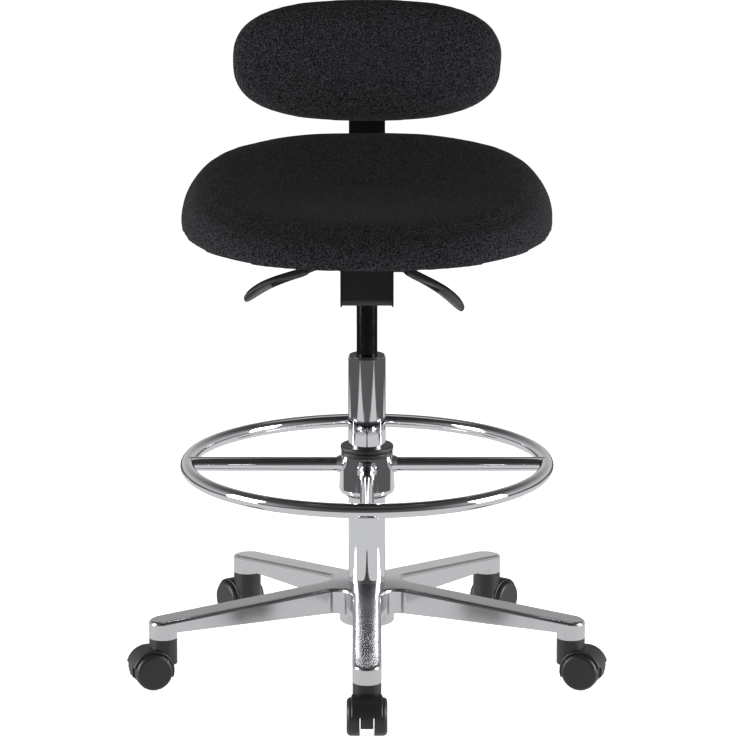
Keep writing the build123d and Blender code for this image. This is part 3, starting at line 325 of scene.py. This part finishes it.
@dataclass
class Pad(Part):
    """A foam pad in cloth: grown from its solid, swollen by air pressure, then shaped."""

    node: str = ""
    body: str = ""
    name: str = ""
    voxel: float = 5.0 * MM
    shrink: float = 0.985       # start smaller, because the pad swells
    pressure: float = 4.0
    frames: int = 20
    most_move: float = 8.0 * MM
    fill: float = 0.75
    rounds: int = 12            # how often the swollen mesh is evened out
    hold: float = 0.3           # share of the solid's own form that stays in the swollen one

    def held(self, co: np.ndarray) -> np.ndarray:
        """True for each vertex that the board holds."""
        raise NotImplementedError

    def shape(self, co: np.ndarray) -> np.ndarray:
        """Moves the swollen vertices to the pad's own form."""
        raise NotImplementedError

    def start(self) -> bpy.types.Object:
        """A closed, evenly meshed copy of the node's solid.

        Returns:
            The new object, at the origin.
        """
        obj = bpy.data.objects.new(self.name, frame["nodes"][self.node].data.copy())
        bpy.context.scene.collection.objects.link(obj)
        obj.data.materials.clear()
        select_only(obj)
        bpy.ops.object.mode_set(mode="EDIT")
        bpy.ops.mesh.select_all(action="SELECT")
        bpy.ops.mesh.remove_doubles(threshold=0.01 * MM)
        bpy.ops.object.mode_set(mode="OBJECT")
        remesh = obj.modifiers.new("even", "REMESH")
        remesh.mode = "VOXEL"
        remesh.voxel_size = self.voxel
        bpy.ops.object.modifier_apply(modifier=remesh.name)
        return obj

    def swell(self, obj: bpy.types.Object) -> None:
        """Blows the pad up against its cloth, and keeps each point's move small.

        Args:
            obj: the pad's even mesh.
        """
        low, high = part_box(self.node)
        middle = np.array((low + high) / 2)
        first = middle + (coordinates(obj) - middle) * self.shrink
        put_back(obj, first)
        grip = obj.vertex_groups.new(name="board")
        grip.add([int(i) for i in np.flatnonzero(self.held(first))], 1.0, "REPLACE")
        cloth = obj.modifiers.new("cloth", "CLOTH")
        cloth.settings.quality = 5
        cloth.settings.mass = 0.3
        cloth.settings.tension_stiffness = 15
        cloth.settings.compression_stiffness = 15
        cloth.settings.shear_stiffness = 5
        cloth.settings.bending_stiffness = 0.5
        cloth.settings.use_pressure = True
        cloth.settings.uniform_pressure_force = self.pressure
        cloth.settings.vertex_group_mass = grip.name
        cloth.settings.effector_weights.gravity = 0
        for number in range(1, self.frames + 1):
            bpy.context.scene.frame_set(number)
        select_only(obj)
        bpy.ops.object.modifier_apply(modifier=cloth.name)
        bpy.context.scene.frame_set(1)
        move = coordinates(obj) - first
        length = np.linalg.norm(move, axis=1, keepdims=True)
        scale = np.minimum(1, self.most_move / np.maximum(length, 1e-9))
        put_back(obj, first + move * scale)
        obj.vertex_groups.clear()

    def fit(self, co: np.ndarray, axes: tuple[int, ...]) -> np.ndarray:
        """Stretches the vertices so that their box is the node's box along some axes.

        Args:
            co: the vertices.
            axes: the axes to fit.

        Returns:
            The vertices, fitted.
        """
        low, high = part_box(self.node)
        for axis in axes:
            least, most = co[:, axis].min(), co[:, axis].max()
            co[:, axis] = low[axis] + (co[:, axis] - least) * (high[axis] - low[axis]) / (most - least)
        return co

    def build(self) -> list[bpy.types.Object]:
        """Makes the pad.

        Returns:
            The pad alone.
        """
        obj = self.start()
        solid = coordinates(obj)
        self.swell(obj)
        co = coordinates(obj)
        free = obj.vertex_groups.new(name="free")
        free.add([int(i) for i in np.flatnonzero(~self.held(co))], 1.0, "REPLACE")
        soften = obj.modifiers.new("soften", "SMOOTH")
        soften.factor = 0.5
        soften.iterations = self.rounds
        soften.vertex_group = free.name
        select_only(obj)
        bpy.ops.object.modifier_apply(modifier=soften.name)
        obj.vertex_groups.clear()
        swollen = self.fit(coordinates(obj), (0, 1, 2))
        put_back(obj, self.shape(self.hold * solid + (1 - self.hold) * swollen))
        finer = obj.modifiers.new("finer", "SUBSURF")
        finer.levels = finer.render_levels = 1
        bpy.ops.object.modifier_apply(modifier=finer.name)
        bpy.ops.object.shade_smooth()
        obj.data.materials.append(Finishes.CLOTH.value.material())
        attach(obj, self.body)
        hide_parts(self.node)
        return [obj]


@dataclass
class SeatPad(Pad):
    """The dished seat, with a border strip sewn round it under the seam."""

    node: str = "seat_cushion"
    body: str = "seat"
    name: str = "seat_pad"
    tilt_deg: float = 5.0
    seam_z: float = 627.0 * MM      # the seam's height over the column's axis
    skirt: float = 9.0 * MM
    dish: float = 19.0 * MM
    dish_y: float = -0.005
    dish_reach: tuple[float, float] = (0.215, 0.20)
    crease: float = 1.6 * MM
    crease_half: float = 0.115
    crease_width: float = 0.016
    border_thick: float = 2.2 * MM
    squareness: float = 2.4
    fill: float = 0.8
    rounds: int = 20
    hold: float = 0.6

    def to_local(self, co: np.ndarray) -> np.ndarray:
        """Row frame to the seat's own tilted frame, with the seam at height 0."""
        a = math.radians(self.tilt_deg)
        y, z = co[:, 1], co[:, 2] - self.seam_z
        return np.column_stack([co[:, 0], y * math.cos(a) + z * math.sin(a),
                                z * math.cos(a) - y * math.sin(a)])

    def to_row(self, co: np.ndarray) -> np.ndarray:
        """The seat's tilted frame back to the row frame."""
        a = math.radians(self.tilt_deg)
        y, z = co[:, 1], co[:, 2]
        return np.column_stack([co[:, 0], y * math.cos(a) - z * math.sin(a),
                                z * math.cos(a) + y * math.sin(a) + self.seam_z])

    def held(self, co: np.ndarray) -> np.ndarray:
        """The underside is stapled to the board."""
        return self.to_local(co)[:, 2] < -0.55 * self.skirt

    def shape(self, co: np.ndarray) -> np.ndarray:
        """Presses the dish and the shallow crease into the top.

        Args:
            co: the swollen pad's vertices.

        Returns:
            The shaped vertices.
        """
        co = self.fit(co, (0, 1, 2))
        local = self.to_local(co)
        x, y, z = local.T
        top = np.clip(z / (40 * MM), 0, 1) ** 1.5
        away = ((np.abs(x) / self.dish_reach[0]) ** 2.6
                + (np.abs(y - self.dish_y) / self.dish_reach[1]) ** 2.6) ** (1 / 2.6)
        z = z - top * self.dish * bump(np.minimum(away, 1))
        along = bump(np.minimum(np.abs(x) / self.crease_half, 1))
        line = y - (self.dish_y + 0.012 - 0.9 * x * x)
        z = z - top * self.crease * along * np.exp(-(line / self.crease_width) ** 2)
        return self.to_row(np.column_stack([x, y, z]))

    def outline(self, count: int, inset: float, height: float) -> np.ndarray:
        """Points round the seat at one height above its seam.

        Args:
            count: how many points.
            inset: how far inside the outline.
            height: above the seam.

        Returns:
            The points, in the row frame.
        """
        low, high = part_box(self.node)
        half_x = (high.x - low.x) / 2 - inset
        half_y = (high.y - low.y) / 2 - inset
        t = np.linspace(0, 2 * math.pi, count, endpoint=False)
        c, s = np.cos(t), np.sin(t)
        power = 2 / self.squareness
        x = half_x * np.sign(c) * np.abs(c) ** power
        y = (low.y + high.y) / 2 + half_y * np.sign(s) * np.abs(s) ** power
        return self.to_row(np.column_stack([x, y, np.full(count, height)]))

    def border(self) -> bpy.types.Object:
        """The strip sewn under the seam: a flat ring with rolled edges.

        Returns:
            The strip.
        """
        count = 144
        rings = []
        for inset, height in ((2.8, 0.2), (1.2, -0.6), (0.3, -2.0), (0.4, -4.4), (1.0, -6.6),
                              (2.4, -8.4), (4.4, -9.3), (6.0, -8.6), (6.0, -1.6)):
            rings.append(self.outline(count, inset * MM, height * MM))
        verts = np.vstack(rings)
        faces = []
        for r in range(len(rings)):
            for i in range(count):
                j, s = (i + 1) % count, (r + 1) % len(rings)
                faces.append((r * count + j, r * count + i, s * count + i, s * count + j))
        mesh = bpy.data.meshes.new("seat_border")
        mesh.from_pydata(verts.tolist(), [], faces)
        obj = bpy.data.objects.new("seat_border", mesh)
        bpy.context.scene.collection.objects.link(obj)
        select_only(obj)
        bpy.ops.object.mode_set(mode="EDIT")
        bpy.ops.mesh.select_all(action="SELECT")
        bpy.ops.mesh.normals_make_consistent(inside=False)
        bpy.ops.object.mode_set(mode="OBJECT")
        finer = obj.modifiers.new("finer", "SUBSURF")
        finer.levels = finer.render_levels = 1
        bpy.ops.object.modifier_apply(modifier=finer.name)
        bpy.ops.object.shade_smooth()
        mesh.materials.append(Finishes.CLOTH.value.material())
        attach(obj, self.body)
        return obj

    def build(self) -> list[bpy.types.Object]:
        """Makes the pad and its border strip.

        Returns:
            Both pieces.
        """
        return [*super().build(), self.border()]


@dataclass
class BackPad(Pad):
    """The oval back pad, softly crowned at the front and gently curved round the sitter."""

    node: str = "backrest_cushion"
    body: str = "backrest"
    name: str = "back_pad"
    crown: float = 5.0 * MM
    lift: float = 2.5 * MM      # the foam stands this much above the board's middle
    fill: float = 0.7

    def held(self, co: np.ndarray) -> np.ndarray:
        """The rear face is stapled to the board."""
        return co[:, 1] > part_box(self.node)[1].y - 5 * MM

    def shape(self, co: np.ndarray) -> np.ndarray:
        """Crowns the front face.

        Args:
            co: the swollen pad's vertices.

        Returns:
            The shaped vertices.
        """
        co = self.fit(co, (0, 2))
        low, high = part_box(self.node)
        middle, half = (low + high) / 2, (high - low) / 2
        away = (np.abs((co[:, 0] - middle.x) / half.x) ** 2.6
                + np.abs((co[:, 2] - middle.z) / half.z) ** 2.6) ** (1 / 2.6)
        front = np.clip((high.y - co[:, 1]) / (high.y - low.y), 0, 1)
        co[:, 1] -= front * self.crown * bump(np.minimum(away, 1))
        co[:, 2] += self.lift
        return co


@dataclass
class Paddle(Part):
    """A lever's moulded paddle: a round neck that flattens and hooks down at its end."""

    name: str = ""
    node: str = ""
    body: str = ""
    side: int = 1               # -1 on the sitter's right, 1 on the left
    tip: tuple[float, float] = (0.0, 0.0)
    depth: float = 0.0          # how far along y the lever lies
    knee: tuple[float, float] = (0.049, 0.5582)
    length: float = 96 * MM
    twist_deg: float = 38.0
    # along the paddle: distance, half width, half thickness and lift, in millimetres
    sections: tuple[tuple[float, float, float, float], ...] = (
        (0, 6.2, 6.2, 0), (12, 6.8, 6.6, 0.6), (28, 7.6, 6.6, 2.2), (44, 10.5, 5.8, 3.4),
        (58, 14.0, 4.8, 3.2), (72, 15.4, 4.2, 1.4), (84, 14.6, 4.0, -1.6), (92, 11.0, 3.4, -4.6),
        (96, 5.0, 2.0, -6.8))

    def build(self) -> list[bpy.types.Object]:
        """Makes the paddle from a cube, cut across and drawn to its sections.

        Returns:
            The paddle alone.
        """
        bpy.ops.object.select_all(action="DESELECT")
        bpy.ops.mesh.primitive_cube_add(size=1)
        obj = bpy.context.object
        obj.name = obj.data.name = self.name
        co = coordinates(obj)
        co[:, 0] = (co[:, 0] + 0.5) * self.sections[-1][0] * MM
        put_back(obj, co)
        bpy.ops.object.mode_set(mode="EDIT")
        for distance, *_ in self.sections[1:-1]:
            bpy.ops.mesh.select_all(action="SELECT")
            bpy.ops.mesh.bisect(plane_co=(distance * MM, 0, 0), plane_no=(1, 0, 0))
        bpy.ops.mesh.select_all(action="SELECT")
        bpy.ops.mesh.normals_make_consistent(inside=False)
        bpy.ops.object.mode_set(mode="OBJECT")
        co = coordinates(obj)
        along = np.array([s[0] for s in self.sections]) * MM
        for column, axis in ((1, 1), (2, 2)):
            half = np.interp(co[:, 0], along, [s[column] for s in self.sections]) * MM
            co[:, axis] = np.sign(co[:, axis]) * half
        co[:, 2] += np.interp(co[:, 0], along, [s[3] for s in self.sections]) * MM
        put_back(obj, co)
        knee = Vector((self.side * self.knee[0], self.depth, self.knee[1]))
        run = Vector((self.tip[0], self.depth, self.tip[1])) - knee
        way = run.normalized()
        up = Vector((0, 1, 0)).cross(way) * -self.side
        turn = Matrix((way, up.cross(way), up)).transposed().to_4x4()
        roll = Matrix.Rotation(math.radians(-self.side * self.twist_deg), 4, "X")
        start = knee + way * (run.length - self.length)
        obj.matrix_world = Matrix.Translation(start) @ turn @ roll
        select_only(obj)
        bpy.ops.object.transform_apply(location=True, rotation=True, scale=True)
        finer = obj.modifiers.new("finer", "SUBSURF")
        finer.levels = finer.render_levels = 3
        bpy.ops.object.modifier_apply(modifier=finer.name)
        bpy.ops.object.shade_smooth()
        obj.data.materials.append(Finishes.ABS.value.material())
        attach(obj, self.body)
        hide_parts(self.node)
        return [obj]


# ---------------------------------------------------------------- studio
@dataclass
class Studio:
    """A pale floor, soft light from both sides and above, and the camera."""

    camera_at: tuple[float, float, float] = (0.0, -5.7044, 1.7706)
    aim: tuple[float, float, float] = (0.0, 0.0, 0.4134)
    lens_mm: float = 215.2
    shift_x: float = 0.0014
    floor_half: float = 40.0

    def camera(self) -> None:
        """Adds the camera and makes it the scene's."""
        data = bpy.data.cameras.new("camera")
        data.lens = self.lens_mm
        data.shift_x = self.shift_x
        data.clip_end = 200
        camera = bpy.data.objects.new("camera", data)
        bpy.context.scene.collection.objects.link(camera)
        camera.location = self.camera_at
        look = Vector(self.aim) - Vector(self.camera_at)
        camera.rotation_euler = look.to_track_quat("-Z", "Y").to_euler()
        bpy.context.scene.camera = camera

    def floor(self) -> None:
        """Adds the floor, which glows a little so that it stays pale under the chair."""
        bpy.ops.object.select_all(action="DESELECT")
        bpy.ops.mesh.primitive_plane_add(size=2 * self.floor_half)
        plane = bpy.context.object
        plane.name = "floor"
        mat = bpy.data.materials.new("pale_floor")
        mat.use_nodes = True
        shader = mat.node_tree.nodes["Principled BSDF"]
        shader.inputs["Base Color"].default_value = linear("#F2F2F2")
        shader.inputs["Roughness"].default_value = 0.9
        shader.inputs["Specular IOR Level"].default_value = 0.0
        shader.inputs["Emission Color"].default_value = (1, 1, 1, 1)
        shader.inputs["Emission Strength"].default_value = 0.88
        plane.data.materials.append(mat)
        plane.visible_glossy = False

    def card(self, name: str, place: tuple[float, float, float], turn_deg: tuple[float, float, float],
             size: tuple[float, float], grey: float) -> None:
        """Adds a card that only shiny surfaces see, to shape their reflections.

        Args:
            name: the card's name.
            place: its middle.
            turn_deg: its rotation about x, y and z.
            size: its width and height.
            grey: how bright it is.
        """
        bpy.ops.object.select_all(action="DESELECT")
        bpy.ops.mesh.primitive_plane_add(size=1, location=place,
                                         rotation=[math.radians(d) for d in turn_deg])
        card = bpy.context.object
        card.name = name
        card.scale = (*size, 1)
        mat = bpy.data.materials.new(name)
        mat.use_nodes = True
        tree = mat.node_tree
        tree.nodes.clear()
        glow = add_node(tree, "ShaderNodeEmission", {"Color": (grey, grey, grey, 1), "Strength": 1.0})
        add_node(tree, "ShaderNodeOutputMaterial", {"Surface": glow.outputs["Emission"]})
        card.data.materials.append(mat)
        card.visible_camera = card.visible_diffuse = card.visible_shadow = False
        card.visible_transmission = card.visible_volume_scatter = False

    def lamp(self, name: str, place: tuple[float, float, float], size: tuple[float, float],
             watts: float, mirrored: bool = True) -> None:
        """Adds a soft box that faces the chair.

        Args:
            name: the lamp's name.
            place: its middle.
            size: its width and height.
            watts: its power.
            mirrored: whether shiny surfaces reflect it.
        """
        data = bpy.data.lights.new(name, "AREA")
        data.shape = "RECTANGLE"
        data.size, data.size_y = size
        data.energy = watts
        lamp = bpy.data.objects.new(name, data)
        bpy.context.scene.collection.objects.link(lamp)
        lamp.location = place
        look = Vector((0, 0, 0.45)) - Vector(place)
        lamp.rotation_euler = look.to_track_quat("-Z", "Y").to_euler()
        lamp.visible_glossy = mirrored

    def sky(self) -> None:
        """A studio that is bright at the sides and behind, and dim in front and overhead."""
        world = bpy.data.worlds.new("studio")
        bpy.context.scene.world = world
        world.use_nodes = True
        tree = world.node_tree
        tree.nodes.clear()
        way = add_node(tree, "ShaderNodeTexCoord").outputs["Generated"]
        parts = add_node(tree, "ShaderNodeSeparateXYZ", {"Vector": way})
        ahead = add_node(tree, "ShaderNodeMapRange", {
            "Value": parts.outputs["Y"], "From Min": -0.95, "From Max": -0.2,
            "To Min": 0.10, "To Max": 0.62}, interpolation_type="SMOOTHSTEP")
        over = add_node(tree, "ShaderNodeMapRange", {
            "Value": parts.outputs["Z"], "From Min": 0.05, "From Max": 0.75,
            "To Min": 1.0, "To Max": 0.12}, interpolation_type="SMOOTHSTEP")
        level = add_node(tree, "ShaderNodeMath", {
            0: ahead.outputs["Result"], 1: over.outputs["Result"]}, operation="MULTIPLY")
        backdrop = add_node(tree, "ShaderNodeLightPath").outputs["Is Camera Ray"]
        plain = add_node(tree, "ShaderNodeMath", {
            0: level.outputs["Value"], 1: backdrop}, operation="MAXIMUM")
        glow = add_node(tree, "ShaderNodeBackground", {
            "Color": (1, 1, 1, 1), "Strength": plain.outputs["Value"]})
        add_node(tree, "ShaderNodeOutputWorld", {"Surface": glow.outputs["Background"]})

    def build(self) -> None:
        """Sets the whole studio up."""
        bpy.context.scene.view_settings.view_transform = "Standard"
        self.camera()
        self.floor()
        self.sky()
        self.card("floor_card", (0, 0, 0.0005), (0, 0, 0), (30, 30), 0.12)
        self.card("near_card", (0, -0.1, 0.001), (0, 0, 0), (2.5, 2.5), 0.74)
        self.lamp("left_box", (-2.3, -0.5, 0.8), (1.0, 1.5), 62)
        self.lamp("right_box", (2.3, -0.5, 0.8), (1.0, 1.5), 62)
        self.lamp("top_box", (0, 0.8, 3.0), (2.0, 2.0), 6)
        self.lamp("front_box", (0, -3.2, 0.9), (2.4, 1.2), 26, mirrored=False)


def main() -> None:
    """Builds the chair's visual model and its studio."""
    logging.basicConfig(level=logging.INFO, format="%(name)s: %(message)s")
    bpy.ops.object.select_all(action="DESELECT")
    Studio().build()
    slots = {s["node"]: s["material_slot"] for s in frame["record"]["subparts"]}
    soft = ("seat_cushion", "backrest_cushion")
    levers = (
        Paddle(name="height_paddle", node="height_lever_grip", body="height_lever", side=-1,
               tip=(-0.165, 0.511), depth=0.0),
        Paddle(name="tilt_paddle", node="tilt_lever_grip", body="tilt_lever", side=1,
               tip=(0.130, 0.508), depth=-0.048))
    rest = Part(nodes=tuple(n for n in slots if n not in soft))
    for part in (rest, SeatPad(), BackPad(), *levers):
        for piece in part.build():
            log.info("%s: %d faces", piece.name, len(piece.data.polygons))
        part.dress()


if __name__ == "__main__":
    main()
